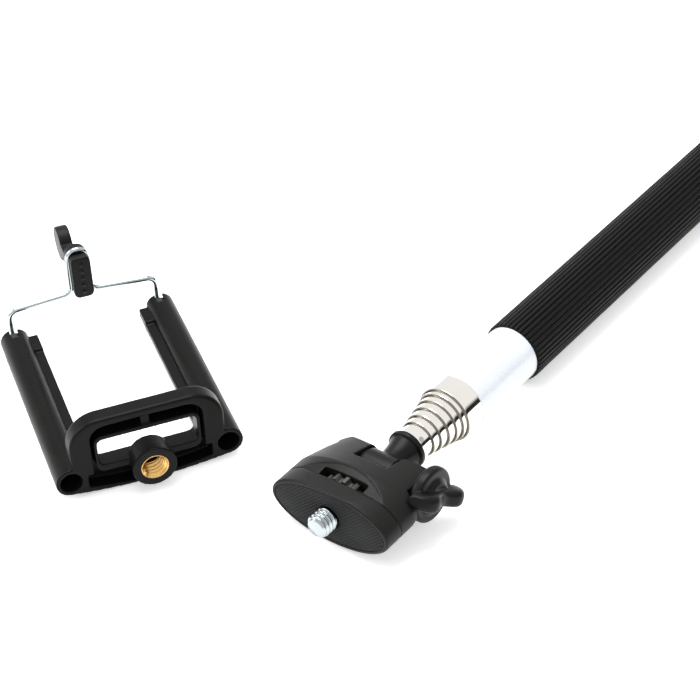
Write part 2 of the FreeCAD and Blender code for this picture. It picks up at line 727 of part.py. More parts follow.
def arm_cuts():
    """Bore of the left arm and the notch in its far end."""
    bore = cylinder(arm_bore_r, (-1, arm_y, 0), X_AXIS, arm_length + 2)
    notch = block(arm_length - notch_length, arm_length + 1, arm_y - notch_width / 2,
                  arm_y + notch_width / 2, 0, arm_r + 1)
    return bore.fuse(notch)


def holder_frame():
    frame = holder_base()
    for shape in both_sides(holder_arm()).Solids:
        frame = frame.fuse(shape)
    for cut in both_sides(arm_cuts()).Solids:
        frame = frame.cut(cut)
    frame = frame.removeSplitter()
    return frame.cut(boss_cylinder(insert_r, -boss_front, insert_length - boss_front))


def brass_insert():
    sleeve = boss_cylinder(insert_r, -boss_front, insert_length - boss_front)
    return sleeve.cut(boss_cylinder(insert_bore_r, -boss_front, insert_length - boss_front))


def wire_bail():
    """One wire: along an arm, up out of its end, in to the middle, and up round the loop."""
    loop_top = loop_leg_top_z + loop_half_width
    path = [(wire_inner_end_x, arm_y, 0), (riser_x, arm_y, 0), (riser_x, arm_y, run_outer_z),
            (loop_x, loop_half_width, run_inner_z), (loop_x, loop_half_width, loop_leg_top_z)]
    left = bent_rod(path, wire_bend_r, wire_r)
    arc = Part.makeTorus(loop_half_width, wire_r, V(loop_x, 0, loop_leg_top_z), X_AXIS)
    top = arc.common(block(loop_x - 2, loop_x + 2, -loop_top, loop_top, loop_leg_top_z, loop_top + 2))
    right = left.mirror(V(0, 0, 0), Y_AXIS)
    return left.fuse(top).fuse(right)


def wire_stop():
    return cylinder(stop_r, (wire_inner_end_x, arm_y, 0), X_AXIS, stop_length).cut(
        cylinder(wire_r, (wire_inner_end_x, arm_y, 0), X_AXIS, stop_length))


def wire_guide():
    return tube(arm_bore_r, wire_r + slide_gap, (guide_x0, arm_y, 0), X_AXIS, guide_length)


def spring():
    """Compression spring between the wire's stop and the guide."""
    start = wire_inner_end_x + stop_length + spring_end_gap + spring_wire_r
    length = guide_x0 - spring_end_gap - spring_wire_r - start
    helix = Part.makeHelix(length / spring_turns, length, spring_mean_r)
    circle = Part.Circle(V(spring_mean_r, 0, 0), Y_AXIS, spring_wire_r).toShape()
    coil = Part.Wire(helix).makePipeShell([Part.Wire(circle)], True, True)
    coil.rotate(V(0, 0, 0), Y_AXIS, 90)
    coil.translate(V(start, arm_y, 0))
    return coil


def finger_clip():
    """Rubber hook on the wire's loop: a dotted pad, a back plate and a round pull tab."""
    pad_back = loop_x - wire_r
    pad_front = pad_back - clip_pad_thickness
    pad_right, pad_left = clip_offset - clip_pad_half_width, clip_offset + clip_pad_half_width
    pad = rounded_bar(pad_right, pad_left, clip_pad_bottom, clip_pad_top,
                      (clip_corner_r,) * 4, pad_front, pad_back)
    pad = rounded_edges(pad, clip_edge_r, lambda edge: abs(edge.CenterOfMass.x - pad_front) < 0.01)
    back_front = loop_x + wire_r
    back_rear = back_front + clip_back_thickness
    bottom = run_inner_z + wire_bend_r
    radii = (clip_corner_r, clip_corner_r, clip_back_top_r, clip_back_top_r)
    back = rounded_bar(-clip_back_half_width, clip_back_half_width, bottom, clip_back_top,
                       radii, back_front, back_rear)
    inside = loop_half_width - wire_r - clip_core_gap
    core = block(pad_back, back_front, -inside, inside, bottom, loop_leg_top_z)
    core = core.fuse(cylinder(inside, (pad_back, 0, loop_leg_top_z), X_AXIS, 2 * wire_r))
    tab_x = loop_x + tab_reach
    tab_right, tab_left = clip_offset - tab_thickness / 2, clip_offset + tab_thickness / 2
    tail = block(back_front, tab_x, tab_right, tab_left,
                 tab_z - tail_half_height, tab_z + tail_half_height)
    disc = cylinder(tab_r, (tab_x, tab_right, tab_z), Y_AXIS, tab_thickness)
    disc = rounded_edges(disc, tab_edge_r, lambda edge: True)
    clip = pad.fuse(core).fuse(back).fuse(tail).fuse(disc)
    pitch = (clip_pad_top - clip_pad_bottom) / (dot_count + 1)
    for i in range(dot_count):
        centre = V(pad_front + dot_r / 3, clip_offset, clip_pad_bottom + (i + 1) * pitch)
        clip = clip.fuse(Part.makeSphere(dot_r, centre))
    return clip.removeSplitter()


def placed(shape):
    """Put a piece of the holder on the table beside the head."""
    moved = shape.copy()
    moved.rotate(V(0, 0, 0), Y_AXIS, holder_tilt)
    moved.rotate(V(0, 0, 0), Z_AXIS, holder_yaw)
    moved.translate(V(holder_x, holder_y, table_z + lower_rim_drop))
    return moved


def make_holder():
    keep("holder_frame", placed(holder_frame()))
    keep("brass_insert", placed(brass_insert()))
    keep("wire_bail", placed(wire_bail()))
    keep("wire_stops", placed(both_sides(wire_stop())), 2)
    keep("wire_guides", placed(both_sides(wire_guide())), 2)
    keep("springs", placed(both_sides(spring())), 2)
    keep("finger_clip", placed(finger_clip()))


make_handle()
make_neck()
make_head()
make_holder()
os.makedirs("parts", exist_ok=True)
for node, shape in parts.items():
    shape.exportStep("parts/%s.step" % node)
print("%d nodes, stick %.1f mm from seat to eye" % (
    len(parts), outer_tube_rear + cap_flange_length + cap_eye_length))
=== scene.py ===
# %% [markdown]
# # A telescopic selfie stick with a spring phone holder
# The lesson dresses a finished CAD frame in the shapes and finishes of the real object. The frame
# gives every size and place, so the script only asks it where things are. Each black moulding,
# bright tube and rubber part gets either a better mesh or a better finish of its own.

import json
import math

import bpy
from mathutils import Matrix, Vector, noise


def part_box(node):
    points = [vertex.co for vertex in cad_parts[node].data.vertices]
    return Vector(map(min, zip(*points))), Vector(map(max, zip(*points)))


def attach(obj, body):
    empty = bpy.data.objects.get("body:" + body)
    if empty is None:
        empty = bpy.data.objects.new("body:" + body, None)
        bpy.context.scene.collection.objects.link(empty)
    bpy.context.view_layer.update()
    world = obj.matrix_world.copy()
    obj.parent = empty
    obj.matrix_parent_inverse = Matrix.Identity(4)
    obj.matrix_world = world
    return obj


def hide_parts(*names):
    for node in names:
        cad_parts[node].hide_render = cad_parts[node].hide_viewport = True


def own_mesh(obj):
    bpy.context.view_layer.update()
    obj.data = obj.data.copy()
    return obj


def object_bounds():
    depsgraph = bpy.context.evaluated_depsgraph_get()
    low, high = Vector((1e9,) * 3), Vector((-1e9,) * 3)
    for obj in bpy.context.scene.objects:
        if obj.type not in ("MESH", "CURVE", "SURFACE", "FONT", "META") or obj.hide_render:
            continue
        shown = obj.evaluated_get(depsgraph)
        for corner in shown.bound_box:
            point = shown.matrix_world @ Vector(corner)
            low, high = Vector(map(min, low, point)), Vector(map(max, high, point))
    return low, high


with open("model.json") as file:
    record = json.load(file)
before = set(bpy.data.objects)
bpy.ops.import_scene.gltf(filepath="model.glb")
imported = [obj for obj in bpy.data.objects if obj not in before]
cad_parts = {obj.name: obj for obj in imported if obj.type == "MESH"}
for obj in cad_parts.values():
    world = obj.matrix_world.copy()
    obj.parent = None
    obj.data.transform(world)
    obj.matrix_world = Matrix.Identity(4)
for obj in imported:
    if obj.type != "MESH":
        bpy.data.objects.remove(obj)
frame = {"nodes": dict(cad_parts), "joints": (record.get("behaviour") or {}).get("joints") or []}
cad_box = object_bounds()
nodes = frame["nodes"]
joints = {joint["name"]: joint for joint in frame["joints"]}
MM = 0.001

# %% [markdown]
# ## Colours and nodes
# Plastic and metal colours are picked as sRGB hex values, but a renderer adds up light in linear
# values, so one function turns the first into the second. A second small function adds a node,
# sets its values and links its inputs, which keeps every finish short enough to read as a recipe.


# %% Two small helpers for finishes
def linear(hex_colour):
    """An sRGB hex colour as the linear colour, with full alpha, that a shader takes."""
    channels = [int(hex_colour[i : i + 2], 16) / 255 for i in (1, 3, 5)]
    return [c / 12.92 if c <= 0.04045 else ((c + 0.055) / 1.055) ** 2.4 for c in channels] + [1.0]


def add(tree, kind, settings=(), links=()):
    """Adds a node. Settings and links go by input name or number, or by the node's own property."""
    made = tree.nodes.new(kind)
    for name, value in dict(settings).items():
        if isinstance(name, int) or name in made.inputs:
            made.inputs[name].default_value = value
        else:
            setattr(made, name, value)
    for name, output in dict(links).items():
        tree.links.new(output, made.inputs[name])
    return made


print("black plastic in linear light:", [round(c, 4) for c in linear("#1c1c1b")])

# %% [markdown]
# ## One recipe that every finish starts from
# No real surface is one flat value. A moulding carries the grain of its steel mould, a tube the
# fine lines of its polishing wheel, and rubber a cloudy bloom. All of them can start from the same
# recipe: noise at the real grain size gives a shallow bump, and together with slower clouds of
# handling it makes a small change of colour and of roughness. Stretching the grain along an axis
# turns it into polishing lines. Numbers that don't vary are set on the shader itself. A second
# function gives the shader of a finish back, for the few values that only some finishes need.

# %% The shared recipe
CLOUD = 9 * MM  # how far the sheen left by handling stays the same
NOISE_LOW, NOISE_HIGH = 0.3, 0.7  # nearly all values of the noise lie between these


def shader_of(material):
    """The shader node that a new material starts with."""
    return material.node_tree.nodes["Principled BSDF"]


def finish(name, dark, light, rough, grain, depth, stretch=(1, 1, 1), metallic=0.0, ior=1.5):
    """A material whose grain, in metres, changes its colour, its roughness and its height."""
    material = bpy.data.materials.new(name)
    material.use_nodes = True
    tree, shader = material.node_tree, shader_of(material)
    shader.inputs["Metallic"].default_value = metallic
    if not metallic:
        shader.inputs["IOR"].default_value = ior
    place = add(tree, "ShaderNodeTexCoord").outputs["Object"]
    scale = [s / grain for s in stretch]
    sized = add(tree, "ShaderNodeMapping", {"Scale": scale}, {"Vector": place})
    crisp = {"Scale": 1.0, "Detail": 3.0}
    fine = add(tree, "ShaderNodeTexNoise", crisp, {"Vector": sized.outputs[0]})
    cloudy = {"Scale": 1 / CLOUD, "Detail": 2.0}
    slow = add(tree, "ShaderNodeTexNoise", cloudy, {"Vector": place})
    mixed = add(tree, "ShaderNodeMix", {"Factor": 0.5}, {2: fine.outputs[0], 3: slow.outputs[0]})
    colours = {"data_type": "RGBA", 6: linear(dark), 7: linear(light)}
    colour = add(tree, "ShaderNodeMix", colours, {0: mixed.outputs[0]})
    ends = {"From Min": NOISE_LOW, "From Max": NOISE_HIGH, "To Min": rough[0], "To Max": rough[1]}
    gloss = add(tree, "ShaderNodeMapRange", ends, {"Value": mixed.outputs[0]})
    height = add(tree, "ShaderNodeBump", {"Distance": depth}, {"Height": fine.outputs[0]})
    tree.links.new(colour.outputs[2], shader.inputs["Base Color"])
    tree.links.new(gloss.outputs[0], shader.inputs["Roughness"])
    tree.links.new(height.outputs[0], shader.inputs["Normal"])
    return material


print("the clouds of handling are", CLOUD / MM, "mm wide")

# %% [markdown]
# ## Black mouldings
# The tilting head and the phone holder are moulded in ABS in a mould with a fine spark-eroded
# grain, so they look matt grey-black with broad soft highlights. The neck and the knob are glass
# filled nylon from a smoother mould, a little deeper in colour and glossier. The toothed wheel is
# acetal, slightly waxy. The grain of such moulds is about a tenth of a millimetre, too fine to
# see here, so it is drawn about three times as coarse. Their mirror-like part is set low, because
# the grain breaks it up.

# %% Make the black mouldings
GRAIN = 0.3 * MM
moulded_abs = finish("moulded_abs", "#0f0f0e", "#181817", (0.36, 0.5), GRAIN, 0.01 * MM, ior=1.54)
holder_abs = finish("holder_abs", "#0b0a0a", "#141312", (0.28, 0.4), GRAIN, 0.006 * MM, ior=1.54)
glossy_nylon = finish(
    "glossy_nylon", "#090909", "#111111", (0.28, 0.4), GRAIN, 0.006 * MM, ior=1.53
)
wheel_acetal = finish(
    "wheel_acetal", "#2b2927", "#3a3835", (0.3, 0.42), GRAIN, 0.01 * MM, ior=1.48
)
washer_nylon = finish(
    "washer_nylon", "#161615", "#1f1f1e", (0.4, 0.5), GRAIN, 0.006 * MM, ior=1.53
)
MIRRORING = {moulded_abs: 0.16, holder_abs: 0.08, glossy_nylon: 0.15}
for black, level in MIRRORING.items():
    shader_of(black).inputs["Specular IOR Level"].default_value = level
print("mouldings:", moulded_abs.name, holder_abs.name, glossy_nylon.name, wheel_acetal.name)

# %% [markdown]
# ## Bright metals
# The telescopic tubes are thin steel, nickel plated and polished while they spin, which leaves
# hair lines round them and a mirror that still smears a little. The front of each rolled-in mouth
# is painted in a darker metal, as painted shade for the shadow in the gap between the tubes. The
# wire is drawn and a little bluer. The stud is zinc plated steel, the insert is turned brass, and
# the guide sleeves are spring bronze. A metal's colour is its reflection, and it keeps the default
# IOR, so a metal is the shared recipe with metallic at one.

# %% Make the metals
ROUND_LINES = (8, 0.15, 0.15)  # many lines to the millimetre along the tube, few round it
EVEN_GRAIN = (1, 1, 1)


def metal(name, dark, light, rough, grain, depth, stretch=EVEN_GRAIN):
    """The finish of a bare or plated metal."""
    return finish(name, dark, light, rough, grain, depth, stretch, metallic=1.0)


tube_nickel = metal(
    "polished_nickel", "#f0ece6", "#f8f5f0", (0.05, 0.1), 0.5 * MM, 0.0004 * MM, ROUND_LINES
)
wire_nickel = metal("drawn_nickel_wire", "#a9b3b8", "#c6ced1", (0.1, 0.18), 0.4 * MM, 0.001 * MM)
zinc_steel = metal("zinc_plated_steel", "#9aa2a6", "#c3cacc", (0.16, 0.24), 0.3 * MM, 0.002 * MM)
plain_steel = metal("plain_steel", "#8f9092", "#b5b6b8", (0.24, 0.38), 0.3 * MM, 0.004 * MM)
turned_brass = metal("turned_brass", "#d9a95c", "#f0c987", (0.2, 0.32), 0.3 * MM, 0.003 * MM)
# painted shade: a darker metal for the shadow in each rolled tube mouth
mouth_painted_shade = metal("painted_mouth_shade", "#7a756d", "#948f87", (0.3, 0.4), 0.3 * MM, 0.0004 * MM)
spring_bronze = metal("spring_bronze", "#8c6239", "#a87a4c", (0.25, 0.38), 0.3 * MM, 0.003 * MM)
print("metals:", tube_nickel.name, wire_nickel.name, zinc_steel.name, turned_brass.name)

# %% [markdown]
# ## Rubbers and the label
# The grip, the pad and the finger clip are soft thermoplastic rubber. It is matt, it takes a dusty
# bloom, and light spreads over it with a very faint sheen, which the shader's sheen gives. The
# label is a white plastic film, so a clear glossy layer, which the shader's coat gives, lies over
# an even white. The film is left blank.

# %% Make the rubbers and the film
RUBBER_IOR = 1.52
grip_rubber = finish(
    "grip_rubber", "#040404", "#0a0909", (0.46, 0.6), 0.35 * MM, 0.03 * MM, ior=RUBBER_IOR
)
pad_rubber = finish(
    "pad_rubber", "#1b1c1d", "#28292a", (0.55, 0.7), 0.3 * MM, 0.02 * MM, ior=RUBBER_IOR
)
clip_rubber = finish(
    "clip_rubber", "#0a0909", "#141211", (0.34, 0.5), 0.3 * MM, 0.015 * MM, ior=RUBBER_IOR
)
label_film = finish(
    "label_film", "#d3d9e0", "#dde2e7", (0.22, 0.32), 1.5 * MM, 0.002 * MM, ior=1.57
)
for rubber in (grip_rubber, pad_rubber, clip_rubber):
    shader_of(rubber).inputs["Sheen Weight"].default_value = 0.02
    shader_of(rubber).inputs["Specular IOR Level"].default_value = 0.14
shader_of(label_film).inputs["Coat Weight"].default_value = 0.6
print("rubbers:", grip_rubber.name, pad_rubber.name, clip_rubber.name, "and", label_film.name)

# %% [markdown]
# ## Finishing a piece
# Every new piece has to lie in the scene, take its finish, ride on its CAD body and hide the CAD
# node it stands for. One function does all of that. A piece that the frame already has in the
# right shape keeps its mesh and only takes a finish, through the object's own material slots.


# %% Helpers that place and dress pieces
def settle(obj, material, body, slot, *stands_for):
    """Gives a finished mesh object its material and smooth faces, and ties it to the frame."""
    if obj.name not in bpy.context.scene.collection.objects:
        bpy.context.scene.collection.objects.link(obj)
    obj.data.materials.clear()
    obj.data.materials.append(material)
    obj.data.polygons.foreach_set("use_smooth", [True] * len(obj.data.polygons))
    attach(obj, body)
    if stands_for:
        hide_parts(*stands_for)
    print(obj.name, "has", len(obj.data.polygons), "faces")
    return obj


def dress(node, material):
    """Puts a finish on a CAD node that keeps its own mesh."""
    for slot in nodes[node].material_slots:
        slot.link = "OBJECT"
        slot.material = material


print("ready to finish", len(nodes), "pieces")

# %% [markdown]
# ## Rounding what a mould has rounded
# A moulding's edges are never sharp. Redrawing a closed mesh in small even cells and relaxing it a
# few times rounds every edge by about a cell. Two modifiers do that, and the mesh that comes out of
# them is kept.


# %% Helpers that round the edges
def even_skin(obj, cell, rounds):
    """Redraws a closed mesh in even cells and relaxes it, so that its edges come out rounded."""
    even = obj.modifiers.new("even cells", "REMESH")
    even.mode = "VOXEL"
    even.voxel_size = cell
    relax = obj.modifiers.new("rounded edges", "SMOOTH")
    relax.factor = 0.5
    relax.iterations = rounds
    ready = obj.evaluated_get(bpy.context.evaluated_depsgraph_get())
    mesh = bpy.data.meshes.new_from_object(ready)
    obj.modifiers.clear()
    obj.data = mesh


def soften(name, node, material, body, slot, cell, rounds):
    """A copy of a CAD moulding with softly rounded edges, which stands for it."""
    obj = bpy.data.objects.new(name, nodes[node].data.copy())
    bpy.context.scene.collection.objects.link(obj)
    even_skin(obj, cell, rounds)
    return settle(obj, material, body, slot, node)


print("made", even_skin.__name__, "and", soften.__name__)

# %% [markdown]
# ## Skins over rings
# Tubes, ribs, threads, springs and wings are all surfaces that run through a row of rings of
# points. One function joins such rings with four-sided faces and closes the ends, and a second
# turns the faces outwards if the rings ran the other way.


# %% Helpers that build a mesh from rings
def skin(name, rings, closed=False):
    """A mesh object over rings of points, capped or closed back onto the first ring."""
    count = len(rings[0])
    points = [p for ring in rings for p in ring]
    steps = range(len(rings) if closed else len(rings) - 1)
    faces = []
    for i in steps:
        for j in range(count):
            a, b = i * count, (i + 1) % len(rings) * count
            faces.append((a + j, a + (j + 1) % count, b + (j + 1) % count, b + j))
    if not closed:
        faces.append(tuple(reversed(range(count))))
        faces.append(tuple(range(len(points) - count, len(points))))
    mesh = bpy.data.meshes.new(name)
    mesh.from_pydata(points, [], faces)
    mesh.validate()
    mesh.update()
    flip_inward(mesh)
    return bpy.data.objects.new(name, mesh)


def flip_inward(mesh):
    """Turns the faces over if the mesh is inside out, which its signed volume tells."""
    volume = sum(
        mesh.vertices[f.vertices[0]].co.dot(
            mesh.vertices[f.vertices[k]].co.cross(mesh.vertices[f.vertices[k + 1]].co)
        )
        for f in mesh.polygons
        for k in range(1, len(f.vertices) - 1)
    )
    if volume < 0:
        mesh.flip_normals()


def ring_about(centre, direction, side, radii):
    """A ring of points round an axis, one for each radius, starting towards side."""
    other = direction.cross(side)
    turn = 2 * math.pi / len(radii)
    return [
        centre + radius * (math.cos(k * turn) * side + math.sin(k * turn) * other)
        for k, radius in enumerate(radii)
    ]


print("made", skin.__name__, "and", ring_about.__name__)

# %% [markdown]
# ## Turned profiles
# A lathe's piece is a profile that runs round an axis. The profile is a list of distances along the
# axis and out from it, and rounded corners are short arcs in that list. Both the tubes and the
# knob's flange are made in this way.

# %% Helpers that turn a profile
AROUND = 96
BACK = Vector((1, 0, 0))
UP = Vector((0, 0, 1))


def turned(name, start, direction, side, profile):
    """A ring-shaped piece turned from a closed profile of (distance along the axis, radius)."""
    rings = [ring_about(start + d * direction, direction, side, [r] * AROUND) for d, r in profile]
    return skin(name, rings, closed=True)


def quarter(centre_along, centre_out, radius, first, last, steps):
    """Points of an arc in a profile, as (distance along the axis, distance out from it)."""
    points = []
    for i in range(steps + 1):
        angle = math.radians(first + (last - first) * i / steps)
        along = centre_along + radius * math.cos(angle)
        points.append((along, centre_out + radius * math.sin(angle)))
    return points


def on_axis(node, x):
    """The point at x on the axis of a round CAD node that runs along the stick."""
    low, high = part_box(node)
    return Vector((x, (low.y + high.y) / 2, (low.z + high.z) / 2))


def half_across(node):
    """Half of a round CAD node's width across the stick."""
    low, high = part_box(node)
    return (high.y - low.y) / 2


print("the outermost tube is", round(2 * half_across("tube_7") / MM, 2), "mm wide")

# %% [markdown]
# ## Telescopic tubes
# Seven thin tubes slide in each other, and each mouth is rolled inwards so that it just clears the
# next tube. A turned profile is the natural way to draw them: it runs along the outside, round the
# rolled lip and back inside. The radius of each tube and where it starts come from the frame, and
# the front of each lip is painted darker, as painted shade for the shadow in the gap between the
# tubes. The innermost tube keeps its CAD mesh, because it has the dimple of the neck's pin.

# %% Turn the tubes
WALL = 0.35 * MM
LIP = 0.28 * MM  # radius of the rolled lip
LIP_STEPS = 5
LIP_UNDERSIDE = 0.12 * MM  # how far back the lip's underside starts
LIP_RISE = 0.05 * MM  # how much wider than the throat the underside is there
THROAT = 0.3 * MM  # how far back the mouth is at its narrowest
MOUTH = 1.0 * MM  # how far the narrowed mouth reaches back
SHADED_LIP = 0.18 * MM  # the rolled edge is painted dark this far back from the mouth, as painted shade
SLIDE_GAP = 0.06 * MM
TUBE_BODIES = {7: "handle", **{n: f"section_{n}" for n in range(1, 7)}}
for number in range(2, 8):
    low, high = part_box(f"tube_{number}")
    length = high.x - low.x
    radius = half_across(f"tube_{number}")
    throat_radius = half_across(f"tube_{number - 1}") + SLIDE_GAP
    lip_out = quarter(LIP, radius - LIP, LIP, 90, 180, LIP_STEPS)
    lip_in = [(LIP_UNDERSIDE, throat_radius + LIP_RISE), (THROAT, throat_radius)]
    inside = [(MOUTH, throat_radius), (MOUTH + WALL, radius - WALL), (length, radius - WALL)]
    outside = [(length, radius), (length / 2, radius), (MOUTH, radius)]
    start = on_axis(f"tube_{number}", low.x)
    tube = turned(f"tube_skin_{number}", start, BACK, UP, outside + lip_out + lip_in + inside)
    settle(tube, tube_nickel, TUBE_BODIES[number], "tube_steel", f"tube_{number}")
    # the front of each lip takes the darker metal, painted shade for the shadow between the tubes
    tube.data.materials.append(mouth_painted_shade)
    for face in tube.data.polygons:
        if face.center.x - low.x < SHADED_LIP:
            face.material_index = 1
dress("tube_1", tube_nickel)
dress("neck_pin", zinc_steel)

# %% [markdown]
# ## Ribbed grip
# The grip is a soft sleeve with round-topped ribs and narrow grooves that run its whole length.
# Rings along the sleeve whose radius dips at each groove give that, and a touch of smooth noise,
# the same on every run, keeps the ribs from looking machined. The ends are rounded like a moulded
# lip.

# %% Measure the grip and set its ribs
RIBS = 40
RIB_POINTS = 10
GRIP_AROUND = RIBS * RIB_POINTS
RIB_DEPTH = 0.55 * MM
GROOVE_SHARPNESS = 6  # the higher, the narrower the groove beside its rib
SET_IN = 0.06 * MM  # the ribs' tops stay this far inside the sleeve's size
WOBBLE = 0.05 * MM
WOBBLE_LENGTH = 6 * MM
NEXT_RIB = 3.7  # a step in the noise that gives each rib a wobble of its own
GRIP_END = 0.9 * MM
END_DROP = 0.6  # how much of a full quarter circle the ends are rounded by
grip_low, grip_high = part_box("grip_sleeve")
grip_radius = half_across("grip_sleeve")
grip_inner = half_across("tube_7") + 0.02 * MM
grip_length = grip_high.x - grip_low.x
print("the grip is", round(grip_length / MM, 1), "mm long with", RIBS, "ribs")


# %% [markdown]
# ### The sleeve's rings
# The sleeve's outside is a row of rings with ten points to each rib. Close to both ends the rings
# are pulled in along a quarter circle, and two smooth rings close the inside.

# %% Shape the grip
def rib_radius(k, along):
    """The sleeve's outer radius at point k of its ring."""
    phase = (k % RIB_POINTS) / RIB_POINTS
    groove = abs(math.cos(math.pi * phase)) ** GROOVE_SHARPNESS
    where = Vector((along / WOBBLE_LENGTH, k // RIB_POINTS * NEXT_RIB, 0))
    wobble = WOBBLE * noise.noise(where)
    return grip_radius - SET_IN - RIB_DEPTH * groove + wobble


def grip_ring(along, radii):
    """A ring of the sleeve at a distance from its front end."""
    return ring_about(on_axis("tube_7", grip_low.x + along), BACK, UP, radii)


def outer_ring(along):
    """A ring of the sleeve's outside, drawn in near both ends."""
    edge = min(along, grip_length - along)
    short = max(0.0, 1 - edge / GRIP_END)
    droop = GRIP_END * (1 - math.sqrt(1 - short**2)) * END_DROP
    return grip_ring(along, [rib_radius(k, along) - droop for k in range(GRIP_AROUND)])


GRIP_ROWS = 48
near_end = [GRIP_END * f for f in (0.0, 0.1, 0.3, 0.6)]
ribbed = grip_length - 2 * GRIP_END
body_rows = [GRIP_END + ribbed * i / GRIP_ROWS for i in range(GRIP_ROWS + 1)]
far_end = [grip_length - d for d in reversed(near_end)]
outer_rings = [outer_ring(d) for d in near_end + body_rows + far_end]
inner_rings = [grip_ring(d, [grip_inner] * GRIP_AROUND) for d in (grip_length, 0.0)]
grip = skin("grip_ribs", outer_rings + inner_rings, closed=True)
settle(grip, grip_rubber, "handle", "grip_rubber", "grip_sleeve")
dress("label_wrap", label_film)

# %% [markdown]
# ## Soft-edged mouldings
# Injection-moulded parts have no sharp edges: the steel of the mould can't hold them and the
# plastic shrinks off them. Beveling each edge is one way, but these shapes have many curved edges
# that meet, so the redrawn skin is used. Small pieces get smaller cells, and each rim then catches
# its thin highlight.

# %% Soften the mouldings
soften("head_shell", "head_body", moulded_abs, "head", "black_nylon", 0.22 * MM, 4)
soften("head_ring", "head_collar", moulded_abs, "head", "black_nylon", 0.20 * MM, 5)
soften("neck_moulding", "neck", glossy_nylon, "section_1", "black_nylon", 0.20 * MM, 4)
soften("rear_cap", "end_cap", glossy_nylon, "handle", "black_nylon", 0.30 * MM, 3)
soften("holder_moulding", "holder_frame", holder_abs, "holder", "black_abs", 0.26 * MM, 4)
soften("clip_moulding", "finger_clip", clip_rubber, "bail", "clip_rubber", 0.16 * MM, 3)
soften("wheel_moulding", "thumb_wheel", wheel_acetal, "stud", "wheel_plastic", 0.15 * MM, 4)

# %% [markdown]
# ## The wing knob
# The clamping knob is a round flange with a fat two-lobed wing across it, all blended together like
# soap. It can be sculpted, or built from simple closed shapes that overlap and are then redrawn as
# one skin. The second way is used: a flange with a rolled rim and a low hub that covers the nut,
# and a wing whose slices are rounded slabs that rise towards both ends. Relaxing the skin fills the
# corners between them.

# %% Find the knob's directions and sizes
tilt_axis = Vector(joints["head_tilt"]["axis"]).normalized()
tilt_point = Vector(joints["head_tilt"]["pos_m"])
OUTWARD = -tilt_axis if tilt_axis.y > 0 else tilt_axis
knob_reach = [OUTWARD.dot(v.co - tilt_point) for v in nodes["wing_knob"].data.vertices]
knob_face, knob_top = min(knob_reach), max(knob_reach)
WING_ANGLE = math.radians(-28)
wing_run = Matrix.Rotation(-WING_ANGLE, 3, tilt_axis) @ BACK
wing_side = OUTWARD.cross(wing_run)
print("knob stands out", round((knob_top - knob_face) / MM, 2), "mm")

# %% [markdown]
# ### The flange
# The flange is turned like the tubes. Its profile starts on the knob's axis, goes round both rims
# and ends with the hub.

# %% Draw the flange's profile
FLANGE_RADIUS = 7.4 * MM
FLANGE_LENGTH = 3.0 * MM
FLANGE_EDGE = 0.9 * MM
HUB_RADIUS = 5.2 * MM
HUB_TOP = 3.8 * MM
HUB_HEIGHT = 1.3 * MM
NEAR_AXIS = 0.0001 * MM  # a profile stops just short of the axis it turns round
straight = FLANGE_RADIUS - FLANGE_EDGE
flange_profile = (
    [(0.0, NEAR_AXIS), (0.0, straight)]
    + quarter(FLANGE_EDGE, straight, FLANGE_EDGE, 180, 90, LIP_STEPS)
    + quarter(FLANGE_LENGTH - FLANGE_EDGE, straight, FLANGE_EDGE, 90, 0, LIP_STEPS)
    + [(FLANGE_LENGTH, HUB_RADIUS)]
    + [(FLANGE_LENGTH + HUB_HEIGHT, radius) for radius in (HUB_TOP, NEAR_AXIS)]
)
print("flange and hub stand", round((FLANGE_LENGTH + HUB_HEIGHT) / MM, 2), "mm high")

# %% [markdown]
# ### The wing
# The wing is a skin over slices that stand side by side along it. Each slice is a slab with round
# corners. It is lower in the middle, where the thumb and finger rest, and it fades out at the tips.

# %% Shape the wing's slices
WING_REACH = 9.9 * MM
WING_THICK = 4.8 * MM
WING_SLICES = 28
SLICE_POINTS = 24
SADDLE = 2.2 * MM  # how far the wing dips between its lobes
LOBE_AT = 0.62  # where along each half the lobe is at its highest
WING_ROOT = 1.4 * MM  # how deep the wing starts inside the flange
LOW_SLICE = 0.3 * MM
SQUARENESS = 0.6  # one is an ellipse, less is a rounder-cornered slab
WAIST = 0.86  # thickness at the saddle beside that at the lobes
TIP_THICKNESS = 0.35  # thickness at the wing's tips beside that at the lobes


def squared(value):
    """A sine or cosine drawn out towards the corners of a rounded slab."""
    return math.copysign(abs(value) ** SQUARENESS, value)


def wing_slice(share):
    """One rounded slab across the wing; share runs from -1 to 1 along it."""
    edge = math.sqrt(max(0.0, 1 - abs(share) ** 4))
    lobe = math.sin(min(1.0, abs(share) / LOBE_AT) * math.pi / 2) ** 2
    base = FLANGE_LENGTH - WING_ROOT
    crest = knob_top - knob_face - base
    height = max(LOW_SLICE, (crest - SADDLE * (1 - lobe)) * edge)
    thick = WING_THICK * (WAIST + (1 - WAIST) * lobe)
    thick *= TIP_THICKNESS + (1 - TIP_THICKNESS) * edge
    centre = tilt_point + OUTWARD * (knob_face + base + height / 2)
    centre += wing_run * (share * WING_REACH)
    points = []
    for k in range(SLICE_POINTS):
        angle = 2 * math.pi * k / SLICE_POINTS
        across = squared(math.cos(angle)) * thick / 2
        along = squared(math.sin(angle)) * height / 2
        points.append(centre + wing_side * across + OUTWARD * along)
    return points


# %% [markdown]
# ### One moulding
# Both closed shapes go into one mesh. Redrawing it in even cells removes what lies inside, and the
# relaxing gives the soft fillets of a moulded knob.

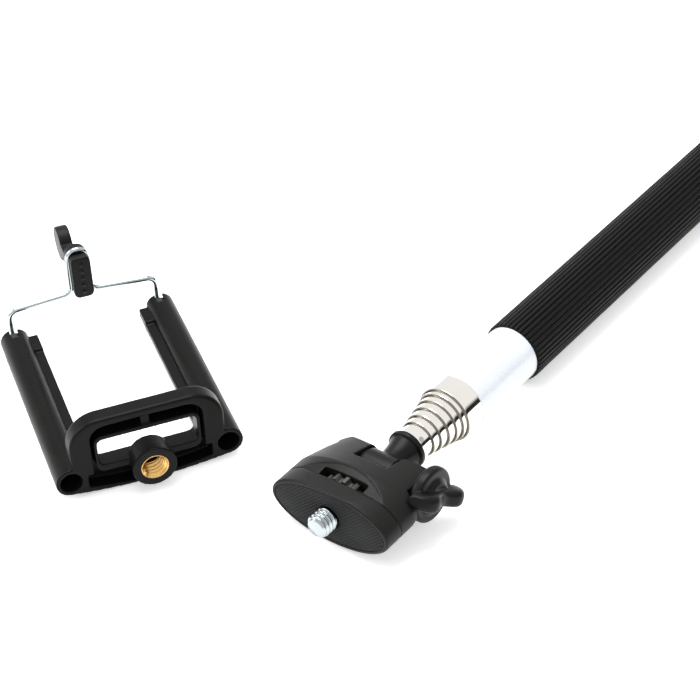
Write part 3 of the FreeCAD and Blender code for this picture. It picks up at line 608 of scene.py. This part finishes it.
# %% Blend the flange and the wing
KNOB_CELL = 0.2 * MM
KNOB_ROUNDS = 8
flange_start = tilt_point + OUTWARD * knob_face
flange = turned("knob_flange", flange_start, OUTWARD, wing_run, flange_profile)
wing = skin("knob_wing", [wing_slice(-1 + 2 * i / WING_SLICES) for i in range(WING_SLICES + 1)])
knob_points, knob_faces = [], []
for part in (flange, wing):
    offset = len(knob_points)
    knob_points += [v.co[:] for v in part.data.vertices]
    knob_faces += [tuple(i + offset for i in f.vertices) for f in part.data.polygons]
    bpy.data.objects.remove(part)
knob_mesh = bpy.data.meshes.new("knob_moulding")
knob_mesh.from_pydata(knob_points, [], knob_faces)
knob = bpy.data.objects.new("knob_moulding", knob_mesh)
bpy.context.scene.collection.objects.link(knob)
even_skin(knob, KNOB_CELL, KNOB_ROUNDS)
settle(knob, glossy_nylon, "knob", "black_nylon", "wing_knob")
dress("knob_nut", turned_brass)

# %% [markdown]
# ## The camera thread
# The stud is a quarter inch camera screw with twenty threads to the inch. A real thread is one
# groove that climbs round the shaft, so each ring's radius depends on where round the shaft it is.
# The same function cuts the thread inside the brass insert, with the crests pointing inwards.

# %% Describe the thread
PITCH = 25.4 / 20 * MM
THREAD_DEPTH = 0.62 * MM
ROWS_PER_TURN = 14
FLANK_RATE, CREST_WIDTH = 1.25, 0.15  # how steep the flanks are and how wide the crest stays


def thread_dip(along, k, count):
    """How deep the groove is at this place, from 0 on the crest to the full depth at the root."""
    phase = (along / PITCH + k / count) % 1.0
    slope = abs(2 * phase - 1)
    return THREAD_DEPTH * min(1.0, max(0.0, FLANK_RATE * slope - CREST_WIDTH))


print("the thread climbs", round(PITCH / MM, 3), "mm a turn")

# %% [markdown]
# ### The stud
# The thread runs from the bevelled tip to the seat of the pad. Behind that the stud is plain where
# it passes through the collar and the wheel, and it ends in a thinner tail that turns in the body.

# %% Cut the stud's thread
TIP_CHAMFER = 0.7 * MM
RUN_OUT = 0.1 * MM  # the plain neck starts this far behind the seat
STUD_NECK = 2.5 * MM
STUD_TAIL = 1.95 * MM
stud_low, stud_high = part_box("camera_stud")
stud_radius = half_across("camera_stud")
wheel_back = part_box("thumb_wheel")[1].x
thread_end = -stud_low.x
row_count = round(thread_end / PITCH * ROWS_PER_TURN)


def stud_ring(x, radii):
    """A ring of the stud at x."""
    return ring_about(Vector((x, 0, 0)), BACK, UP, radii)


stud_rows = []
for i in range(row_count + 1):
    along = thread_end * i / row_count
    limit = stud_radius - max(0.0, TIP_CHAMFER - along)
    radii = [min(stud_radius - thread_dip(along, k, AROUND), limit) for k in range(AROUND)]
    stud_rows.append(stud_ring(stud_low.x + along, radii))
plain = ((RUN_OUT, STUD_NECK), (wheel_back, STUD_NECK), (wheel_back, STUD_TAIL))
for x, radius in plain + ((stud_high.x, STUD_TAIL),):
    stud_rows.append(stud_ring(x, [radius] * AROUND))
stud = skin("stud_thread", stud_rows)
settle(stud, zinc_steel, "stud", "steel", "camera_stud")

# %% [markdown]
# ## The holder's own directions
# The holder lies turned on the floor, so its pieces are easier to draw along its own axes. The
# joint that the wire slides on gives the direction of the arms, and the other two follow from it.

# %% Find the holder's axes
ALONG = Vector(joints["bail_slide"]["axis"]).normalized()
LEFT = UP.cross(ALONG).normalized()
OVER = ALONG.cross(LEFT)


def span(node, direction):
    """The lowest and highest distance of a CAD node's points along a direction."""
    reach = [direction.dot(v.co) for v in nodes[node].data.vertices]
    return min(reach), max(reach)


def holder_point(node):
    """The centre of a CAD node, measured along the holder's own axes."""
    return sum(((sum(span(node, d)) / 2) * d for d in (ALONG, LEFT, OVER)), Vector())


print("arms point along", [round(c, 3) for c in ALONG])

# %% [markdown]
# ## The brass insert
# A knurled brass nut is moulded into the boss so that the plastic never wears. Only its face and
# its thread show. It is one turned ring whose inside follows the thread.

# %% Cut the insert
insert_low, insert_high = span("brass_insert", ALONG)
insert_length = insert_high - insert_low
insert_right, insert_left = span("brass_insert", LEFT)
insert_radius = (insert_left - insert_right) / 2
insert_start = holder_point("brass_insert") - ALONG * insert_length / 2
BORE_CREST = 2.7 * MM
FACE_CHAMFER = 0.35 * MM
OUTER_CHAMFER = 0.15 * MM
LEAD_IN = THREAD_DEPTH + FACE_CHAMFER


def insert_ring(along, radii):
    """A ring of the insert, measured from its face."""
    return ring_about(insert_start + along * ALONG, ALONG, LEFT, radii)


insert_rings = [insert_ring(d, [insert_radius] * AROUND) for d in (insert_length, OUTER_CHAMFER)]
insert_rings.append(insert_ring(0.0, [insert_radius - OUTER_CHAMFER] * AROUND))
bore_rows = round(insert_length / PITCH * ROWS_PER_TURN)
for i in range(bore_rows + 1):
    along = insert_length * i / bore_rows
    limit = BORE_CREST + max(0.0, LEAD_IN - min(along, insert_length - along))
    radii = [max(BORE_CREST + thread_dip(along, k, AROUND), limit) for k in range(AROUND)]
    insert_rings.append(insert_ring(along, radii))
insert = skin("insert_thread", insert_rings, closed=True)
settle(insert, turned_brass, "holder", "brass", "brass_insert")

# %% [markdown]
# ## The springs
# Two compression springs inside the arms pull the wire back. Each is a wire on a helix, drawn as
# small rings along the path. When the wire is pulled out the springs shorten.

# %% Wind the springs
SPRING_TURNS = 14
SPRING_STEPS = 20
SPRING_WIRE = 0.3 * MM
SPRING_SIDES = 8
spring_ends = span("springs", ALONG)
spring_sides = span("springs", LEFT)
spring_tops = span("springs", OVER)
coil_height = sum(spring_tops) / 2
coil_radius = (spring_tops[1] - spring_tops[0]) / 2 - SPRING_WIRE
spring_length = spring_ends[1] - spring_ends[0] - 2 * SPRING_WIRE


def coil(name, sideways):
    """A helix of round wire along the arm, centred the given distance to the left."""
    count = SPRING_TURNS * SPRING_STEPS
    start = ALONG * (spring_ends[0] + SPRING_WIRE) + LEFT * sideways + OVER * coil_height
    rings = []
    for i in range(count + 1):
        angle = 2 * math.pi * i / SPRING_STEPS
        out = math.cos(angle) * LEFT + math.sin(angle) * OVER
        centre = start + ALONG * spring_length * i / count + out * coil_radius
        direction = out.cross(ALONG)
        rings.append(ring_about(centre, direction, out, [SPRING_WIRE] * SPRING_SIDES))
    return skin(name, rings)


inset = coil_radius + SPRING_WIRE
springs = [
    coil("spring_left", spring_sides[1] - inset),
    coil("spring_right", spring_sides[0] + inset),
]
for spring in springs:
    settle(spring, plain_steel, "holder", "spring_steel", "springs")
    first = spring.data.vertices[0].co
    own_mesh(spring)

# %% [markdown]
# ## The ribbed pad
# A rubber pad keeps the camera from turning. Its face is covered in fine ribs that slant at half a
# right angle. The base follows the outline of the CAD pad, and every rib is a small bar cut off
# where it would leave the outline or run into the stud.

# %% Find the pad's outline
FACE_SKIN = 0.05 * MM  # points this near the front belong to the face
STUD_CLEAR = 2 * MM  # points this near the stud belong to its hole
FINE_ANGLE = 4  # decimals that tell two points of the outline apart
PARALLEL = 1e-12
ROUNDING = 1e-6
pad_low, pad_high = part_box("head_pad")
front = [v.co for v in nodes["head_pad"].data.vertices if v.co.x < pad_low.x + FACE_SKIN]
rim = {}
for point in front:
    if math.hypot(point.y, point.z) > stud_radius + STUD_CLEAR:
        rim[round(math.atan2(point.z, point.y), FINE_ANGLE)] = Vector((point.y, point.z))
rim_points = [rim[a] for a in sorted(rim)]


def rim_radius(angle):
    """The pad outline's distance from the stud's axis in a direction."""
    reach = 0.0
    toward = Vector((math.cos(angle), math.sin(angle)))
    for p, q in zip(rim_points, rim_points[1:] + rim_points[:1]):
        edge = q - p
        cross = toward.x * edge.y - toward.y * edge.x
        if abs(cross) < PARALLEL:
            continue
        t = (p.x * edge.y - p.y * edge.x) / cross
        s = (p.x * toward.y - p.y * toward.x) / cross
        if t > 0 and -ROUNDING <= s <= 1 + ROUNDING:
            reach = max(reach, t)
    return reach


print("pad outline from", len(rim_points), "points")

# %% [markdown]
# ### The pad's base
# The base is a flat ring between the stud's hole and the outline, with a small bevel round its
# face. Its face lies lower than the CAD pad's by the height of the ribs.

# %% Mould the pad's base
PAD_AROUND = 180
PAD_RIB_HEIGHT = 0.14 * MM
PAD_CHAMFER = 0.1 * MM
pad_angles = [2 * math.pi * k / PAD_AROUND for k in range(PAD_AROUND)]
pad_radii = [rim_radius(a) for a in pad_angles]
pad_hole = stud_radius + 0.15 * MM
hole_radii = [pad_hole] * PAD_AROUND
face_x = pad_low.x + PAD_RIB_HEIGHT


def pad_ring(x, radii):
    """A ring of the pad's base at a depth, with a radius for each direction."""
    return [Vector((x, r * math.cos(a), r * math.sin(a))) for r, a in zip(radii, pad_angles)]


pad_rings = [
    pad_ring(pad_high.x, hole_radii),
    pad_ring(pad_high.x, pad_radii),
    pad_ring(face_x + PAD_CHAMFER, pad_radii),
    pad_ring(face_x, [r - PAD_CHAMFER for r in pad_radii]),
    pad_ring(face_x, hole_radii),
]
pad = skin("pad_base", pad_rings, closed=True)
settle(pad, pad_rubber, "head", "pad_rubber", "head_pad")

# %% [markdown]
# ### Where the ribs run
# Each rib follows a slanting line over the face. Walking along the line in small steps shows where
# it is on the rubber, and each stretch that is long enough becomes a rib.

# %% Find where the pad's slanting ribs run
SLANT = Vector((0, -1, 1)).normalized()
ACROSS = Vector((0, 1, 1)).normalized()
PAD_RIB_PITCH = 0.75 * MM
PAD_RIB_MARGIN = 0.35 * MM
PAD_RIB_STEP = 0.1 * MM
SHORTEST_RUN = 5  # a rib needs more points along its line than this
longest = max(pad_radii)


def on_pad(point):
    """True where a rib may stand: inside the rim and clear of the stud."""
    radius = math.hypot(point.y, point.z)
    k = round(math.atan2(point.z, point.y) / (2 * math.pi) * PAD_AROUND) % PAD_AROUND
    return pad_hole + PAD_RIB_MARGIN < radius < pad_radii[k] - PAD_RIB_MARGIN


def both_ways(step):
    """Whole numbers of steps from one rim of the pad to the other."""
    return range(-round(longest / step), round(longest / step) + 1)


rib_runs = []
for n in both_ways(PAD_RIB_PITCH):
    run = []
    for i in both_ways(PAD_RIB_STEP):
        point = ACROSS * (n * PAD_RIB_PITCH) + SLANT * (i * PAD_RIB_STEP)
        if on_pad(point):
            run.append(point)
            continue
        if len(run) > SHORTEST_RUN:
            rib_runs.append((run[0], run[-1]))
        run = []
print("the pad has", len(rib_runs), "ribs")

# %% [markdown]
# ### The ribs
# A rib's section is a low trapezium, as rubber leaves its mould more easily with sloping sides. All
# ribs go into one mesh with flat faces, so that their edges stay crisp.

# %% Add the ribs
PAD_RIB_WIDTH = 0.42 * MM
PAD_RIB_SINK = 0.02 * MM  # the ribs start this deep in the base
SECTION = ((-0.5, 0.0), (-0.28, 1.0), (0.28, 1.0), (0.5, 0.0))  # shares of width and height
CORNERS = len(SECTION)


def rib_section(point):
    """The four corners of a rib's section at a point of the pad's face."""
    corners = []
    for width, height in SECTION:
        x = face_x + PAD_RIB_SINK - height * (PAD_RIB_HEIGHT + PAD_RIB_SINK)
        corners.append(point + ACROSS * (width * PAD_RIB_WIDTH) + Vector((x, 0, 0)))
    return corners


points, faces = [], []
for first, last in rib_runs:
    near = [len(points) + k for k in range(CORNERS)]
    far = [k + CORNERS for k in near]
    points += rib_section(first) + rib_section(last)
    for k in range(CORNERS):
        after = (k + 1) % CORNERS
        faces.append((near[k], near[after], far[after], far[k]))
    faces += [tuple(reversed(near)), tuple(far)]
rib_mesh = bpy.data.meshes.new("pad_ribs")
rib_mesh.from_pydata(points, [], faces)
rib_mesh.update()
flip_inward(rib_mesh)
settle(bpy.data.objects.new("pad_ribs", rib_mesh), pad_rubber, "head", "pad_rubber")
rib_mesh.polygons.foreach_set("use_smooth", [False] * len(rib_mesh.polygons))

# %% [markdown]
# ## Pieces that keep their CAD mesh
# Washers, screws, bolts, guide sleeves and the bent wire already have the right shape. They only
# need the finish of what they are made of.

# %% Dress the remaining pieces
for node in ("wire_bail", "wire_stops"):
    dress(node, wire_nickel)
for node in ("pivot_bolt", "head_screws", "knob_washer"):
    dress(node, plain_steel)
for node in ("friction_washers", "wire_guides"):
    dress(node, washer_nylon)
for number in range(1, 7):
    dress(f"bush_{number}", spring_bronze)

# %% [markdown]
# ## Floor and light
# The object lies on a plain white table in a bright tent. Black plastic needs large soft lights
# to show its form, and polished tubes need something dark to reflect, so the surroundings are
# white overhead with a dark band low on one side. The table is opal acrylic with a weak light under
# it, as studios for small goods have, which washes most of the shadow away.

# %% Lay the floor
HALF_FLOOR = 1.5
FLOOR_GLOW = 0.45
floor_z = cad_box[0].z
floor_mesh = bpy.data.meshes.new("table_top")
corners = [(-HALF_FLOOR, -HALF_FLOOR), (HALF_FLOOR, -HALF_FLOOR)]
corners += [(HALF_FLOOR, HALF_FLOOR), (-HALF_FLOOR, HALF_FLOOR)]
floor_mesh.from_pydata([(x, y, floor_z) for x, y in corners], [], [(0, 1, 2, 3)])
floor = bpy.data.objects.new("table_top", floor_mesh)
bpy.context.scene.collection.objects.link(floor)
opal = finish("opal_acrylic", "#f4f4f3", "#f7f7f6", (0.55, 0.65), 2 * MM, 0.0, ior=1.49)
shader_of(opal).inputs["Emission Color"].default_value = linear("#ffffff")
shader_of(opal).inputs["Emission Strength"].default_value = FLOOR_GLOW
floor_mesh.materials.append(opal)
print("floor at", round(floor_z / MM, 2), "mm")

# %% [markdown]
# ### The tent
# The world is white, apart from a band low on one side. Its height and its width are two ramps, and
# the brighter of them wins, so that the band has soft edges.

# %% Hang the white tent with its dark band
DARK_SIDE = Vector((0.6, -0.8, 0.0))  # where the band is
BAND_HEIGHT = {"From Min": 0.20, "From Max": 0.36}  # dark below the first, white above the second
BAND_WIDTH = {"From Min": 0.75, "From Max": 0.35}  # dark this near its middle, white this far off
TENT_STRENGTH = 0.95
world = bpy.data.worlds.new("white_tent")
bpy.context.scene.world = world
world.use_nodes = True
tree = world.node_tree
background = tree.nodes["Background"]
toward = add(tree, "ShaderNodeTexCoord").outputs["Generated"]
parts = add(tree, "ShaderNodeSeparateXYZ", (), {0: toward})
high = add(tree, "ShaderNodeMapRange", BAND_HEIGHT, {"Value": parts.outputs["Z"]})
nearness = {"operation": "DOT_PRODUCT", 1: DARK_SIDE}
aside = add(tree, "ShaderNodeVectorMath", nearness, {0: toward})
wide = add(tree, "ShaderNodeMapRange", BAND_WIDTH, {"Value": aside.outputs["Value"]})
brighter = {"operation": "MAXIMUM"}
white = add(tree, "ShaderNodeMath", brighter, {0: high.outputs[0], 1: wide.outputs[0]})
cloth = {"data_type": "RGBA", 6: linear("#2c2825"), 7: linear("#ffffff")}
colour = add(tree, "ShaderNodeMix", cloth, {0: white.outputs[0]})
tree.links.new(colour.outputs[2], background.inputs["Color"])
background.inputs["Strength"].default_value = TENT_STRENGTH
print("tent:", len(tree.nodes), "nodes")

# %% [markdown]
# ### The lights
# One large soft light hangs overhead and a weaker one stands to the left. They give the broad
# highlights on the black mouldings.


# %% Hang the lights
def softbox(name, place, aim, size, power):
    """A square area light that points from place to aim."""
    light = bpy.data.lights.new(name, "AREA")
    light.size = size
    light.energy = power
    lamp = bpy.data.objects.new(name, light)
    lamp.location = place
    lamp.rotation_mode = "QUATERNION"
    lamp.rotation_quaternion = (Vector(aim) - Vector(place)).to_track_quat("-Z", "Y")
    bpy.context.scene.collection.objects.link(lamp)


LIT_SPOT = (0.05, 0.02, 0.0)
softbox("overhead_box", (0.15, 0.25, 0.75), LIT_SPOT, size=0.55, power=6.0)
softbox("left_box", (-0.35, 0.70, 0.45), LIT_SPOT, size=0.40, power=2.5)

# %% [markdown]
# ## The camera
# The camera stands about half a metre off with a long lens, as for a small product, and looks down
# at the head and the holder. Its direction is built from a heading, a downward angle and a slight
# roll, and those three vectors are the columns of its matrix.

# %% Set up the camera
AIM = Vector((63.1 * MM, 42.5 * MM, floor_z))
DISTANCE = 546.9 * MM
HEADING = math.radians(39.08)
LOOK_DOWN = math.radians(39.28)
ROLL = math.radians(2.01)
level = Vector((math.cos(HEADING), math.sin(HEADING), 0.0))
gaze = math.cos(LOOK_DOWN) * level - math.sin(LOOK_DOWN) * UP
level_right = gaze.cross(UP).normalized()
level_up = level_right.cross(gaze)
right = math.cos(ROLL) * level_right - math.sin(ROLL) * level_up
upward = right.cross(gaze)
camera_data = bpy.data.cameras.new("camera")
camera_data.sensor_width = 36.0
camera_data.lens = 100.76
camera_data.clip_start = 0.01
camera = bpy.data.objects.new("camera", camera_data)
bpy.context.scene.collection.objects.link(camera)
turn = Matrix((right, upward, -gaze)).transposed().to_4x4()
camera.matrix_world = Matrix.Translation(AIM - gaze * DISTANCE) @ turn
bpy.context.scene.camera = camera
bpy.context.scene.view_settings.view_transform = "Standard"
print("camera at", [round(c / MM, 1) for c in camera.location], "mm")
